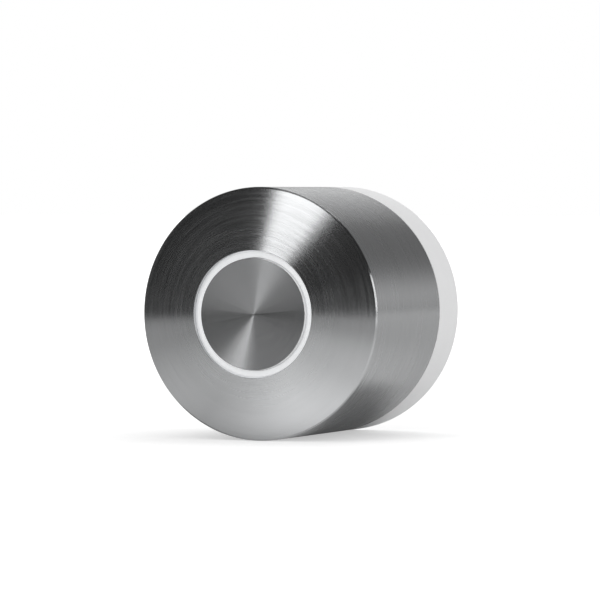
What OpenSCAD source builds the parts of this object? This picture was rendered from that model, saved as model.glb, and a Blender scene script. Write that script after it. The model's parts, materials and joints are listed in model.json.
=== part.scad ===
// Smart door lock: a round turning knob that clamps on a euro profile lock cylinder.
// The door is the XZ plane. The lock's axis is Y and its front faces -Y, with +Z up.
// A value that ends in _at is a distance in front of the door, measured along the axis.
// Angles run from +X towards +Z, as someone standing in front of the lock sees them.

/* [Body] */
// Outer diameter of the knob and of the white base
body_d = 57; // [56:0.5:62]
// Length of the knob's straight steel side
knob_len = 39; // [36:0.5:46]
// How far the knob's shallow cone rises in front of the side's edge
cone_rise = 3.87; // [3.6:0.1:4.6]
// Diameter of the hole in the cone that frames the light ring
bezel_d = 28.6; // [26:0.1:31]
// Width of the light ring's groove, from the cone's hole to the push button
light_groove_w = 1.7; // [1.5:0.05:2]
// Depth of the light ring's face behind the edge of the cone
groove_depth = 1.4; // [1.2:0.1:1.7]
// Travel of the push button
button_travel = 0.7; // [0.5:0.05:0.8]
// Running gap between the knob and the base
running_gap = 0.2; // [0.1:0.05:0.4]

/* [Mounting] */
// Thickness of the steel plate that is fixed to the door
plate_t = 4.5; // [4:0.25:6]
// Distance between the plate's two screws
plate_screw_spacing = 38; // [37:0.5:40]
// Diameter of the holes for the plate's screws
plate_hole_d = 4.2; // [3.6:0.1:4.6]
// Diameter of the socket that takes the cylinder's spindle
socket_d = 8.2; // [7:0.1:8.6]

/* [Inside] */
// Wall between the inner teeth's pitch circle and the knob's shell
ring_rim = 3.2; // [3:0.1:3.6]
// Width of the gears on the spindle and on the idlers
gear_w = 2.6; // [2.2:0.1:3]
// Diameter of one battery cell
cell_d = 15.6; // [14:0.2:16.4]
// Room in front of the battery cells, for their tabs and leads
cell_room = 1.4; // [1:0.1:4]
// Room between the gearmotor and the chassis
motor_room = 0.2; // [0.2:0.1:1]

/* [Hidden] */

$fn = 96;
eps = 0.01;        // overshoot of a cut through a flat face
over = 1;          // overshoot of a cut through a round face
fit = 0.03;        // gap round a pressed piece
run_fit = 0.05;    // gap round a turning piece
seat = 0.05;       // gap between two faces that touch
small_fn = 24;     // sides of a small round

steel_brushed = [0.72, 0.73, 0.73];
steel_turned = [0.7, 0.71, 0.72];
screw_black = [0.3, 0.3, 0.32];
brass = [0.78, 0.68, 0.42];
bronze = [0.72, 0.5, 0.24];
acetal = [0.85, 0.83, 0.75];
glide_plastic = [0.85, 0.84, 0.78];
board_green = [0.05, 0.3, 0.16];
nickel = [0.75, 0.75, 0.77];

// Radii, from the outside in
body_r = body_d / 2;
shell_wall = 1.3;
shell_in = body_r - shell_wall;
edge_chamfer = 0.35;
cone_r = body_r - edge_chamfer;
bezel_r = bezel_d / 2;
button_r = bezel_r - light_groove_w;
base_wall = 2.3;
base_in = body_r - base_wall;
recess_wall = 2.5;
recess_r = body_r - recess_wall;
plate_play = 0.2;
plate_r = recess_r - plate_play;
glide_room = 1.7;
chassis_r = shell_in - glide_room;
chassis_wall = 1.3;
chassis_in = chassis_r - chassis_wall;

// Distances in front of the door, from the back
plate_proud = 0.2;
plate_gap = 0.3;
floor_at = plate_t + plate_gap;
floor_t = 1.8;
floor_front = floor_at + floor_t;
layer_gap = 0.4;
spindle_gear_at = floor_front + layer_gap;
idler_layer_at = spindle_gear_at + gear_w + layer_gap;
base_front = idler_layer_at + gear_w;
knob_rear = base_front + running_gap;
ring_at = knob_rear + layer_gap;
ring_w = 4;
wall_gap = 0.5;
wall_at = ring_at + ring_w + wall_gap;
wall_t = 2;
wall_front = wall_at + wall_t;
front_edge = knob_rear + knob_len;
bezel_at = front_edge + cone_rise;
cone_t = 1.25;
button_sink = 0.22;
button_at = bezel_at - button_sink;
guide_at = bezel_at - groove_depth;
board_t = 1.2;
board_depth = 5.2;
board_at = front_edge - board_depth;
board_front = board_at + board_t;

function polar(r, a) = [r * cos(a), r * sin(a)];
function cone_at(r) = front_edge + cone_rise * (cone_r - r) / (cone_r - bezel_r);

// Involute gears: the teeth's proportions are those of short 25 degree teeth
pressure_angle = 25;
addendum = 0.9;
dedendum = 1.15;
drive_play = 0.03;
planet_play = 0.02;
function involute(a) = tan(a) * 180 / PI - a;
function half_tooth(m, z, r, mid) =
    mid + involute(pressure_angle)
    - involute(acos(min(1, m * z / 2 * cos(pressure_angle) / r)));
function flank_radii(base_r, r_in, r_out, steps) =
    let (start = max(base_r, r_in))
    concat(r_in < base_r ? [r_in] : [],
           [for (k = [0:steps]) start + (r_out - start) * k / steps]);
function gear_points(m, z, r_in, r_out, mid, steps) =
    let (base_r = m * z / 2 * cos(pressure_angle),
         flank = flank_radii(base_r, r_in, r_out, steps),
         last = len(flank) - 1)
    [for (i = [0:z - 1], side = [-1, 1], k = [0:last])
        let (r = side < 0 ? flank[k] : flank[last - k])
        polar(r, i * 360 / z + side * half_tooth(m, z, max(r, base_r), mid))];

// Phase of a gear that meets another one in the direction mesh_a
function outer_phase(mesh_a, phase, z1, z2) =
    mesh_a + 180 - (0.5 - (mesh_a - phase) * z1 / 360) * 360 / z2;
function inner_phase(mesh_a, phase, z1, z2) = mesh_a - (mesh_a - phase) * z1 / z2;

// The drive train's teeth, places and phases
ring_z = 64;
drive_module = 2 * (shell_in - ring_rim) / ring_z;
ring_tip_r = drive_module * (ring_z / 2 - addendum);
idler_a_big_z = 24;
small_z = 12;
spindle_z = 32;
train_turn = 28;
idler_a_angle = 90 + train_turn;
idler_a_orbit = drive_module * (ring_z - idler_a_big_z) / 2;
idler_b_orbit = drive_module * (spindle_z + small_z) / 2;
idler_pitch = drive_module * small_z;
idler_b_angle = idler_a_angle
    - acos((idler_a_orbit ^ 2 + idler_b_orbit ^ 2 - idler_pitch ^ 2)
           / (2 * idler_a_orbit * idler_b_orbit));
motor_angle = train_turn - 90;
idler_a_pos = polar(idler_a_orbit, idler_a_angle);
idler_b_pos = polar(idler_b_orbit, idler_b_angle);
motor_pos = polar(idler_b_orbit, motor_angle);
idler_mesh_a = atan2(idler_b_pos.y - idler_a_pos.y, idler_b_pos.x - idler_a_pos.x);
idler_a_phase = inner_phase(idler_a_angle, 0, ring_z, idler_a_big_z);
idler_b_phase = outer_phase(idler_mesh_a, idler_a_phase, small_z, small_z);
spindle_phase = outer_phase(idler_b_angle + 180, idler_b_phase, small_z, spindle_z);
pinion_phase = outer_phase(motor_angle, spindle_phase, spindle_z, small_z);
arbor_r = 1.5;
arbor_foot_r = 2;
arbor_foot_gap = 0.1;
arbor_foot_at = idler_layer_at - arbor_foot_gap;
arbor_in = 0.4;

// The gearmotor: two planet stages and a motor in one slim can
motor_r = chassis_in - idler_b_orbit - motor_room;
motor_d = 2 * motor_r;
sun_z = 12;
planet_z = 15;
housing_z = 42;
housing_rim = 1.2;
planet_module = 2 * (motor_r - housing_rim) / housing_z;
planet_orbit = planet_module * (sun_z + planet_z) / 2;
carrier_share = 0.92;
carrier_r = planet_module * housing_z / 2 * carrier_share;
planet_pin_r = 0.6;
output_r = 1.5;
nose_r = 3;
pinion_gap = 0.8;
nose_at = spindle_gear_at + gear_w + pinion_gap;
gearbox_at = wall_front + seat;
gearbox_floor_t = 1.15;
teeth_at = gearbox_at + gearbox_floor_t;
carrier_gap = 0.2;
carrier_2_at = teeth_at + carrier_gap;
carrier_t = 1.2;
planet_w = 2.3;
planet_gap = 0.15;
planet_2_at = carrier_2_at + carrier_t + planet_gap;
stage_gap = 0.6;
carrier_1_at = planet_2_at + planet_w + stage_gap;
planet_1_at = carrier_1_at + carrier_t + planet_gap;
planet_pin_over = 0.1;
gearbox_end_gap = 0.8;
gearbox_front = planet_1_at + planet_w + gearbox_end_gap;
motor_gap = 0.4;
motor_front = board_at - motor_gap;
end_cap_t = 1.25;
can_wall = 0.8;
can_at = gearbox_front + seat;
can_front = motor_front - end_cap_t;
rotor_r = 0.75;
bearing_r = 1.5;

// The posts and screws that join the chassis, the base, the board and the front cover
post_r = 2.5;
post_gap = 0.825;
post_orbit = ring_tip_r - post_r - post_gap;
post_angles = [20, 165, 255];
screw_r = 1;
cover_screw_inset = 2.2;
cover_screw_orbit = chassis_in - cover_screw_inset;
cover_screw_angles = [for (k = [0:3]) train_turn + 45 + 90 * k];
cover_post_r = 2.4;
cover_screw_r = 0.8;
cover_head_r = 1.9;
cover_head_depth = 1.8;
cover_head_at = front_edge - cover_head_depth;
gearmotor_screw_inset = 2.3;
gearmotor_screw_pos = [for (side = [-1, 1])
    motor_pos + side * polar(motor_r - gearmotor_screw_inset, motor_angle + 90)];

// The rim where the front cover meets the chassis, and the rings on which the knob glides
cover_rim_depth = 2.1;
cover_rim_at = front_edge - cover_rim_depth;
glide_w = 2;
glide_sink = 0.45;
glide_inset = 0.8;
glide_board_gap = 0.2;
glide_at = [wall_front + glide_inset, board_at + glide_board_gap];

// The cells stand between the motor and the posts
cell_r = cell_d / 2;
cell_gap = 0.8;
cell_orbit = chassis_in - cell_r - cell_gap;
cell_angles = [for (k = [1:3]) motor_angle + 90 * k];
cell_rear_gap = 0.5;
cell_at = wall_front + cell_rear_gap;
cell_len = board_at - cell_at - cell_room;
core_wall = 1.6;
core_room_r = cell_orbit - cell_r - core_wall;
tab_t = 0.2;

// The spindle, its bearings and its sensor
hub_r = 6;
neck_gap = 0.425;
neck_r = idler_a_orbit - drive_module * (idler_a_big_z / 2 + addendum) - neck_gap;
journal_step = 0.9;
journal_r = neck_r - journal_step;
hub_at = 3;
hub_over = 0.3;
hub_front = base_front + hub_over;
neck_end_gap = 0.3;
neck_front = wall_at - neck_end_gap;
bush_r = 7.4;
front_bush_wall = 1.2;
front_bush_r = journal_r + front_bush_wall;
journal_over = 1.9;
journal_front = wall_front + journal_over;
circlip_gap = 0.55;
circlip_at = wall_front + circlip_gap;
circlip_t = 0.6;
magnet_step = 1;
magnet_r = journal_r - magnet_step;
magnet_t = 2;
sensor_gap = 0.7;
sensor_at = journal_front + magnet_t + sensor_gap;
sensor_t = 0.8;
cradle_gap = 0.85;
cradle_at = sensor_at + sensor_t + cradle_gap;

// The euro profile opening in the plate
profile_r = 8.7;
profile_tail_r = 5.3;
profile_tail_z = -19.6;
clamp_z = -17;
clamp_r = 1.5;
clamp_tip_gap = 0.1;
clamp_tip = profile_tail_r + clamp_tip_gap;
clamp_sink = 2.5;
clamp_len = sqrt(plate_r ^ 2 - clamp_z ^ 2) - clamp_tip - clamp_sink;
lock_screw_angles = [150, 210];
lock_screw_at = 2.5;

// The charging pocket in the underside of the base
pocket_depth = 0.9;
pocket_z = -(body_r - pocket_depth);
pocket_w = 13.2;
pocket_len = 5.6;
pocket_shift = 0.2;
pocket_at = (floor_front + base_front) / 2 - pocket_shift;
contact_pitch = 2.5;
contact_r = 0.8;
contact_sink = 0.1;
charge_magnet_x = 7.4;
charge_magnet_r = 1.3;
charge_magnet_in = 0.9;
charge_board_in = 1.8;
charge_board_z = -(base_in - charge_board_in);
charge_board_t = 1;
flex_w = 5;
flex_t = 0.2;
flex_play = 0.3;
flex_in = 0.725;
flex_z = -(ring_tip_r - flex_in);

// The push button, its guide and the light ring
button_t = 1.45;
button_dish = 0.65;
skirt_t = 1.2;
skirt_len = 2.85;
skirt_at = button_at - skirt_len;
lip_t = 0.5;
lip_out = 0.5;
lip_r = button_r + lip_out;
lip_play = 0.15;
guide_in = button_r + lip_play;
guide_play = 0.2;
guide_r = bezel_r - guide_play;
guide_flange_out = 1.3;
guide_flange_r = bezel_r + guide_flange_out;
guide_step = 0.77;
guide_step_at = guide_at - guide_step;
guide_flange_t = 0.6;
guide_rear_gap = 1.5;
guide_rear_at = board_front + guide_rear_gap;
lip_rest = 0.1;
lip_room_at = skirt_at + lip_t + lip_rest;
cover_floor_gap = 1.6;
cover_floor_at = board_front + cover_floor_gap;
cover_floor_room = 0.8;
cover_floor_front = skirt_at - button_travel - cover_floor_room;
seat_groove_depth = 1;
seat_groove_at = cover_floor_front - seat_groove_depth;
carrier_lip = 0.2;
carrier_at = skirt_at - carrier_lip;
carrier_front = button_at - button_t - seat;
carrier_plate_t = 0.65;
spring_top_at = carrier_front - carrier_plate_t;
guide_room = 0.12;
guide_room_r = guide_r + guide_room;
inner_wall_t = 1.1;
inner_wall_r = guide_room_r + inner_wall_t;
cover_play = 0.1;
cover_skirt_r = chassis_in - cover_play;
cover_skirt_t = 1.2;
cover_skirt_in = cover_skirt_r - cover_skirt_t;
chip_orbit = (inner_wall_r + cover_skirt_in) / 2;
chip_room = cover_skirt_in - inner_wall_r;
led_out = 0.3;
led_orbit = (guide_in + guide_r) / 2 + led_out;
led_count = 12;
led_t = 0.6;
switch_w = 6;
switch_h = 2.5;
switch_front = board_front + switch_h;
plunger_r = 1.2;
plunger_out = 0.7;
plunger_front = switch_front + plunger_out;
plunger_in = 0.4;
pin_r = 1;
pin_gap = 0.2;
pin_orbit = button_r - skirt_t - pin_r - pin_gap;
pin_room = 0.3;
spring_seat_gap = 0.3;
spring_seat_out = pin_orbit - pin_r - spring_seat_gap;
spring_seat_w = 2;
spring_seat_in = spring_seat_out - spring_seat_w;
pin_angles = [30, 150, 270];

// Placing: at() moves a piece that is drawn along +Z onto the lock's axis
module at(d, p = [0, 0]) {
    rotate([90, 0, 0]) translate([p.x, p.y, d]) children();
}

module disc(d0, d1, r, p = [0, 0]) {
    at(d0, p) cylinder(h = d1 - d0, r = r);
}

module bore(d0, d1, r, p = [0, 0]) {
    disc(d0 - eps, d1 + eps, r, p);
}

module ring(d0, d1, r_out, r_in, p = [0, 0]) {
    difference() {
        disc(d0, d1, r_out, p);
        bore(d0, d1, r_in, p);
    }
}

module turned(points) {
    rotate([90, 0, 0]) rotate_extrude($fn = 180) polygon(points);
}

module block(x, d0, d1, z0, z1) {
    translate([-x, -d1, z0]) cube([2 * x, d1 - d0, z1 - z0]);
}

module gear_shape(m, z, play, phase, steps = 3) {
    r = m * z / 2;
    rotate(phase)
        polygon(gear_points(m, z, r - dedendum * m, r + addendum * m,
                            90 / z - play / r * 180 / PI, steps));
}

module inner_gear_shape(m, z, play, r_out, steps = 3) {
    r = m * z / 2;
    difference() {
        circle(r = r_out, $fn = 180);
        polygon(gear_points(m, z, r - addendum * m, r + dedendum * m,
                            90 / z + play / r * 180 / PI, steps));
    }
}

module grub_screw(r, length) {
    hexagon = 6;
    socket_r = r * 0.55;
    socket_depth = length * 0.3;
    difference() {
        cylinder(h = length, r = r, $fn = small_fn);
        translate([0, 0, length - socket_depth])
            cylinder(h = length, r = socket_r, $fn = hexagon);
    }
}

// A screw whose head ends at z = 0 and whose shank runs down to -length
module pan_screw(r, head_r, head_h, length) {
    slot_w = head_r * 0.35;
    slot_len = head_r * 1.2;
    slot_h = head_h * 0.5;
    difference() {
        union() {
            translate([0, 0, -head_h]) cylinder(h = head_h, r = head_r, $fn = 32);
            translate([0, 0, -length])
                cylinder(h = length - head_h / 2, r = r, $fn = small_fn);
        }
        for (turn = [0, 90]) rotate(turn)
            translate([-slot_len / 2, -slot_w / 2, -slot_h])
                cube([slot_len, slot_w, head_h]);
    }
}

// Knob
module knob_shell() {
    color(steel_brushed)
        turned([[shell_in, knob_rear], [body_r, knob_rear],
                [body_r, front_edge - edge_chamfer], [cone_r, front_edge],
                [bezel_r, bezel_at], [bezel_r, bezel_at - cone_t],
                [shell_in, cone_at(shell_in) - cone_t]]);
}

module knob_ring_gear() {
    color(brass)
        at(ring_at) linear_extrude(ring_w)
            inner_gear_shape(drive_module, ring_z, drive_play, shell_in - fit);
}

// Base and mounting
module base_housing() {
    round_r = 0.6;
    round_steps = 4;
    head_h = 1;
    head_r = 2.5;
    boss_r = 3.4;
    boss_h = 0.25;
    screw_play = 0.2;
    through = 5;
    color([0.93, 0.93, 0.92]) difference() {
        union() {
            turned(concat(
                [[recess_r, plate_proud]],
                [for (k = [0:round_steps])
                    let (a = -90 + 90 * k / round_steps)
                    [body_r - round_r, plate_proud + round_r] + polar(round_r, a)],
                [[body_r, base_front], [base_in, base_front], [base_in, floor_front],
                 [bush_r + run_fit, floor_front], [bush_r + run_fit, floor_at],
                 [recess_r, floor_at]]));
            disc(floor_front - eps, floor_front + boss_h, boss_r, idler_b_pos);
        }
        bore(floor_at + arbor_in, floor_front, arbor_foot_r + fit, idler_a_pos);
        bore(floor_at + arbor_in, floor_front + boss_h, arbor_r + fit, idler_b_pos);
        for (a = post_angles) {
            bore(floor_at, floor_front, screw_r + screw_play, polar(post_orbit, a));
            bore(floor_at, floor_at + head_h, head_r, polar(post_orbit, a));
        }
        for (a = lock_screw_angles) translate([0, -lock_screw_at, 0]) rotate([0, 90 - a, 0])
            translate([0, 0, recess_r - over])
                cylinder(h = through, r = clamp_r + fit, $fn = small_fn);
        block(pocket_w / 2, pocket_at - pocket_len / 2, pocket_at + pocket_len / 2,
              -body_r - over, pocket_z);
        for (k = [-1.5:1.5]) translate([k * contact_pitch, -pocket_at, pocket_z - over])
            cylinder(h = through, r = contact_r + fit, $fn = small_fn);
        for (side = [-1, 1])
            translate([side * charge_magnet_x, -pocket_at, pocket_z + charge_magnet_in])
                cylinder(h = through, r = charge_magnet_r + fit, $fn = small_fn);
    }
}

module mounting_plate() {
    sink_h = 2.1;
    sink_r = plate_hole_d / 2 + sink_h;
    dimple = 1.6;
    color([0.6, 0.61, 0.62]) difference() {
        disc(0, plate_t, plate_r);
        bore(0, plate_t, profile_r);
        block(profile_tail_r, -eps, plate_t + eps, profile_tail_z, 0);
        bore(0, plate_t, profile_tail_r, [0, profile_tail_z]);
        for (side = [-1, 1]) {
            bore(0, plate_t, plate_hole_d / 2, [side * plate_screw_spacing / 2, 0]);
            at(plate_t - sink_h, [side * plate_screw_spacing / 2, 0])
                cylinder(h = sink_h + eps, r1 = plate_hole_d / 2, r2 = sink_r);
            translate([0, -plate_t / 2, clamp_z]) rotate([0, 90 * side, 0])
                cylinder(h = plate_r, r = clamp_r + fit, $fn = 32);
        }
        for (a = lock_screw_angles) translate([0, -lock_screw_at, 0]) rotate([0, 90 - a, 0])
            translate([0, 0, plate_r - dimple])
                cylinder(h = dimple + over, r = clamp_r + fit, $fn = small_fn);
    }
}

module clamp_grub_screws() {
    color(screw_black) for (side = [-1, 1])
        translate([side * clamp_tip, -plate_t / 2, clamp_z]) rotate([0, 90 * side, 0])
            grub_screw(clamp_r, clamp_len);
}

module lock_grub_screws() {
    depth = 1.4;
    sink = 0.3;
    length = body_r - sink - (plate_r - depth);
    color(screw_black) for (a = lock_screw_angles)
        translate([0, -lock_screw_at, 0]) rotate([0, 90 - a, 0])
            translate([0, 0, plate_r - depth]) grub_screw(clamp_r, length);
}

module spindle_rear_bush() {
    flange_r = 8.2;
    flange_overlap = 0.1;
    color(bronze) difference() {
        union() {
            disc(floor_at + seat, floor_front + flange_overlap, bush_r);
            disc(floor_front + seat, spindle_gear_at - seat, flange_r);
        }
        bore(floor_at, spindle_gear_at, hub_r + run_fit);
    }
}

module thrust_washer() {
    play = 0.15;
    width = 1.2;
    color(glide_plastic)
        ring(base_front + seat, ring_at - seat, shell_in - play, base_in - width);
}

// Chassis
module core_chassis() {
    ridge_w = 1;
    ridge_r = chassis_r - 0.1;
    post_hole = 7;
    cover_post_hole = 8;
    flex_slot = flex_play + flex_t + 0.1;
    color([0.16, 0.16, 0.17]) difference() {
        union() {
            disc(wall_at, wall_front, chassis_r);
            ring(ring_at + ring_w + seat, wall_at + eps, ridge_r, ridge_r - ridge_w);
            ring(wall_front - eps, cover_rim_at - seat, chassis_r, chassis_in);
            for (a = post_angles)
                disc(floor_front + seat, wall_at + eps, post_r, polar(post_orbit, a));
            for (a = cover_screw_angles)
                disc(wall_front - eps, board_at - seat, cover_post_r,
                     polar(cover_screw_orbit, a));
        }
        bore(wall_at, wall_front, front_bush_r + fit);
        bore(wall_at, wall_front, arbor_r + fit, idler_a_pos);
        bore(wall_at, wall_front, nose_r + fit, motor_pos);
        for (p = gearmotor_screw_pos) bore(wall_at, wall_front, screw_r, p);
        for (a = post_angles)
            bore(floor_front, floor_front + post_hole, screw_r + fit, polar(post_orbit, a));
        for (a = cover_screw_angles)
            bore(board_at - cover_post_hole, board_at, cover_screw_r + fit,
                 polar(cover_screw_orbit, a));
        for (d = glide_at)
            ring(d - run_fit, d + glide_w + run_fit, chassis_r + over,
                 chassis_r - glide_sink);
        block(flex_w / 2 + flex_play, wall_at - over, wall_front + over, flex_z - flex_play,
              flex_z + flex_slot);
    }
}

module glide_rings() {
    play = 0.08;
    color(glide_plastic) for (d = glide_at)
        ring(d, d + glide_w, shell_in - play, chassis_r - glide_sink + fit);
}

module spindle_front_bearing() {
    proud = [0.2, 0.3];
    color(bronze)
        ring(wall_at - proud[0], wall_front + proud[1], front_bush_r, journal_r + run_fit);
}

module idler_a_arbor() {
    color(steel_turned) {
        disc(floor_at + arbor_in, arbor_foot_at, arbor_foot_r, idler_a_pos);
        disc(arbor_foot_at - eps, wall_front - arbor_in, arbor_r, idler_a_pos);
    }
}

module idler_b_arbor() {
    head_r = 2.6;
    head_gap = 0.15;
    color(steel_turned) {
        disc(floor_at + arbor_in, base_front + head_gap + seat, arbor_r, idler_b_pos);
        disc(base_front + head_gap, ring_at - head_gap, head_r, idler_b_pos);
    }
}

module standoff_screws() {
    head_r = 2.2;
    head_h = 0.9;
    length = 7;
    color(screw_black) for (a = post_angles)
        at(floor_at + seat, polar(post_orbit, a)) mirror([0, 0, 1])
            pan_screw(screw_r, head_r, head_h, length);
}

module gearmotor_screws() {
    head_r = 1.5;
    head_h = 0.8;
    bite = 0.9;
    length = head_h + seat + wall_t + bite;
    color(screw_black) for (p = gearmotor_screw_pos)
        at(wall_at - seat - head_h, p) mirror([0, 0, 1])
            pan_screw(screw_r - fit, head_r, head_h, length);
}

// Gearmotor
module gearbox_housing() {
    screw_end_t = 0.1;
    color([0.66, 0.66, 0.67]) difference() {
        union() {
            disc(nose_at, gearbox_at + eps, nose_r, motor_pos);
            disc(gearbox_at, teeth_at + eps, motor_r, motor_pos);
            at(teeth_at, motor_pos) linear_extrude(gearbox_front - teeth_at)
                inner_gear_shape(planet_module, housing_z, planet_play, motor_r, 2);
        }
        bore(nose_at, teeth_at, output_r + run_fit, motor_pos);
        for (p = gearmotor_screw_pos) bore(gearbox_at, teeth_at - screw_end_t, screw_r, p);
    }
}

module motor_can() {
    color([0.62, 0.63, 0.64]) difference() {
        disc(can_at, can_front, motor_r, motor_pos);
        bore(can_at + can_wall, can_front, motor_r - can_wall, motor_pos);
        bore(can_at, can_at + can_wall, bearing_r + fit, motor_pos);
    }
}

module motor_magnets() {
    magnet_wall = 1.7;
    inner_r = motor_r - can_wall - magnet_wall;
    gap_w = 2.4;
    rear_gap = 1.2;
    front_gap = 1.4;
    start_at = can_at + can_wall + rear_gap;
    color([0.22, 0.21, 0.22]) difference() {
        ring(start_at, can_front - front_gap, motor_r - can_wall - seat, inner_r,
             motor_pos);
        at(start_at - eps, motor_pos)
            translate([-gap_w / 2, -motor_r, 0]) cube([gap_w, motor_d, motor_front - start_at]);
    }
}

module motor_end_cap() {
    plug_t = 0.8;
    tag_w = 0.9;
    tag_t = 0.3;
    tag_h = 0.3;
    tag_x = 4;
    color([0.9, 0.89, 0.84]) difference() {
        union() {
            disc(can_front + seat, motor_front, motor_r, motor_pos);
            disc(can_front - plug_t, can_front + seat + eps, motor_r - can_wall - seat,
                 motor_pos);
            for (side = [-1, 1]) at(motor_front - eps, motor_pos + [side * tag_x, 0])
                translate([-tag_t / 2, -tag_w / 2, 0]) cube([tag_t, tag_w, tag_h]);
        }
        bore(can_front - plug_t, motor_front, bearing_r + fit, motor_pos);
    }
}

module motor_bearings() {
    rear_over = 0.4;
    front_over = 0.7;
    front_sink = 0.1;
    color(bronze) {
        ring(can_at, can_at + can_wall + rear_over, bearing_r, rotor_r + run_fit,
             motor_pos);
        ring(can_front - front_over, motor_front - front_sink, bearing_r,
             rotor_r + run_fit, motor_pos);
    }
}

module motor_rotor() {
    stack_at = can_at + can_wall + 2.2;
    stack_front = can_front - 3;
    air_gap = 0.3;
    pole_r = motor_r - can_wall - 1.7 - air_gap;
    core_r = 1.7;
    pole_w = 1.8;
    pole_t = 0.8;
    pole_half_angle = 50;
    coil_r = pole_r - 0.9;
    coil_w = 3.4;
    coil_in = 0.3;
    coil_over = 0.8;
    commutator_r = 1.9;
    commutator_gap = 0.9;
    shaft_sink = 0.3;
    color([0.6, 0.45, 0.3]) {
        disc(planet_1_at, motor_front - shaft_sink, rotor_r, motor_pos);
        at(planet_1_at, motor_pos) linear_extrude(planet_w)
            gear_shape(planet_module, sun_z, planet_play, 0, 2);
        disc(stack_at - coil_over, stack_front + coil_over, core_r, motor_pos);
        disc(stack_front + coil_over - eps, can_front - commutator_gap, commutator_r,
             motor_pos);
        at(stack_at, motor_pos) linear_extrude(stack_front - stack_at)
            for (k = [0:2]) rotate(120 * k) {
                translate([0, -pole_w / 2]) square([pole_r - pole_t / 2, pole_w]);
                intersection() {
                    difference() {
                        circle(r = pole_r);
                        circle(r = pole_r - pole_t);
                    }
                    polygon([[0, 0], polar(pole_r * 2, -pole_half_angle),
                             polar(pole_r * 2, pole_half_angle)]);
                }
            }
        at(stack_at - coil_over, motor_pos)
            linear_extrude(stack_front - stack_at + 2 * coil_over)
                for (k = [0:2]) rotate(120 * k)
                    translate([core_r - coil_in, -coil_w / 2])
                        square([coil_r - core_r, coil_w]);
    }
}

module output_carrier() {
    color(steel_turned) {
        disc(spindle_gear_at, carrier_2_at + eps, output_r, motor_pos);
        disc(carrier_2_at, carrier_2_at + carrier_t, carrier_r, motor_pos);
        for (k = [0:2])
            disc(carrier_2_at + carrier_t - eps, planet_2_at + planet_w + planet_pin_over,
                 planet_pin_r, motor_pos + polar(planet_orbit, 120 * k));
    }
}

module output_pinion() {
    color(brass) difference() {
        at(spindle_gear_at, motor_pos) linear_extrude(gear_w)
            gear_shape(drive_module, small_z, drive_play, pinion_phase);
        bore(spindle_gear_at, spindle_gear_at + gear_w, output_r + fit, motor_pos);
    }
}

module planet(d, k) {
    a = 120 * k;
    p = motor_pos + polar(planet_orbit, a);
    color(acetal) difference() {
        at(d, p) linear_extrude(planet_w)
            gear_shape(planet_module, planet_z, planet_play,
                       inner_phase(a, 0, housing_z, planet_z), 2);
        bore(d, d + planet_w, planet_pin_r + run_fit, p);
    }
}

module planet_2_1() { planet(planet_2_at, 0); }
module planet_2_2() { planet(planet_2_at, 1); }
module planet_2_3() { planet(planet_2_at, 2); }
module planet_1_1() { planet(planet_1_at, 0); }
module planet_1_2() { planet(planet_1_at, 1); }
module planet_1_3() { planet(planet_1_at, 2); }

module carrier_1() {
    color(steel_turned) {
        at(planet_2_at, motor_pos) linear_extrude(carrier_1_at - planet_2_at + eps)
            gear_shape(planet_module, sun_z, planet_play, 0, 2);
        disc(carrier_1_at, carrier_1_at + carrier_t, carrier_r, motor_pos);
        for (k = [0:2])
            disc(carrier_1_at + carrier_t - eps, planet_1_at + planet_w + planet_pin_over,
                 planet_pin_r, motor_pos + polar(planet_orbit, 120 * k));
    }
}

// Power
module battery_cell(k) {
    cap_r = 2.6;
    cap_h = 0.6;
    groove = 0.3;
    groove_w = 0.6;
    neck_depth = 1.6;
    p = polar(cell_orbit, cell_angles[k]);
    neck_at = cell_at + cell_len - cap_h - neck_depth;
    color([0.2, 0.34, 0.5]) difference() {
        union() {
            disc(cell_at, cell_at + cell_len - cap_h, cell_r, p);
            disc(cell_at, cell_at + cell_len, cap_r, p);
        }
        ring(neck_at, neck_at + groove_w, cell_r + over, cell_r - groove, p);
    }
}

module battery_cell_1() { battery_cell(0); }
module battery_cell_2() { battery_cell(1); }
module battery_cell_3() { battery_cell(2); }

module cradle_outline() {
    clear = 0.08;
    edge_gap = 0.2;
    slot_out = 2;
    difference() {
        circle(r = chassis_in - edge_gap);
        for (a = cell_angles) translate(polar(cell_orbit, a)) circle(r = cell_r + clear);
        translate(motor_pos) circle(r = motor_r + clear);
        for (a = cover_screw_angles) translate(polar(cover_screw_orbit, a))
            circle(r = cover_post_r + clear);
        translate([-flex_w / 2 - flex_play, flex_z - slot_out])
            square([flex_w + 2 * flex_play, slot_out + flex_t + 2 * flex_play]);
    }
}

module cell_cradle() {
    tier_t = 3;
    core_t = 3;
    wire_hole_r = core_room_r - core_t;
    top_depth = 6;
    top_at = cell_at + cell_len - top_depth;
    color([0.3, 0.31, 0.33]) difference() {
        union() {
            at(cradle_at) linear_extrude(tier_t) cradle_outline();
            at(top_at) linear_extrude(tier_t) cradle_outline();
            disc(cradle_at, top_at + eps, core_room_r);
        }
        bore(cradle_at, top_at + tier_t, wire_hole_r);
    }
}

module battery_tabs() {
    strip_w = 4;
    rear_at = cell_at - seat - tab_t;
    front_at = cell_at + cell_len + seat;
    color([0.8, 0.78, 0.7]) {
        for (pair = [[0, 1, front_at], [1, 2, rear_at]]) at(pair[2]) linear_extrude(tab_t)
            hull() for (k = [pair[0], pair[1]])
                translate(polar(cell_orbit, cell_angles[k]))
                    circle(d = strip_w, $fn = small_fn);
        for (end = [[0, rear_at], [2, front_at]])
            disc(end[1], end[1] + tab_t, strip_w / 2, polar(cell_orbit, cell_angles[end[0]]));
    }
}

// Electronics
module main_board() {
    edge_gap = 0.3;
    screw_play = 0.1;
    color(board_green) difference() {
        disc(board_at, board_front, chassis_in - edge_gap);
        for (a = cover_screw_angles)
            bore(board_at, board_front, screw_r + screw_play,
                 polar(cover_screw_orbit, a));
    }
}

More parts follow.
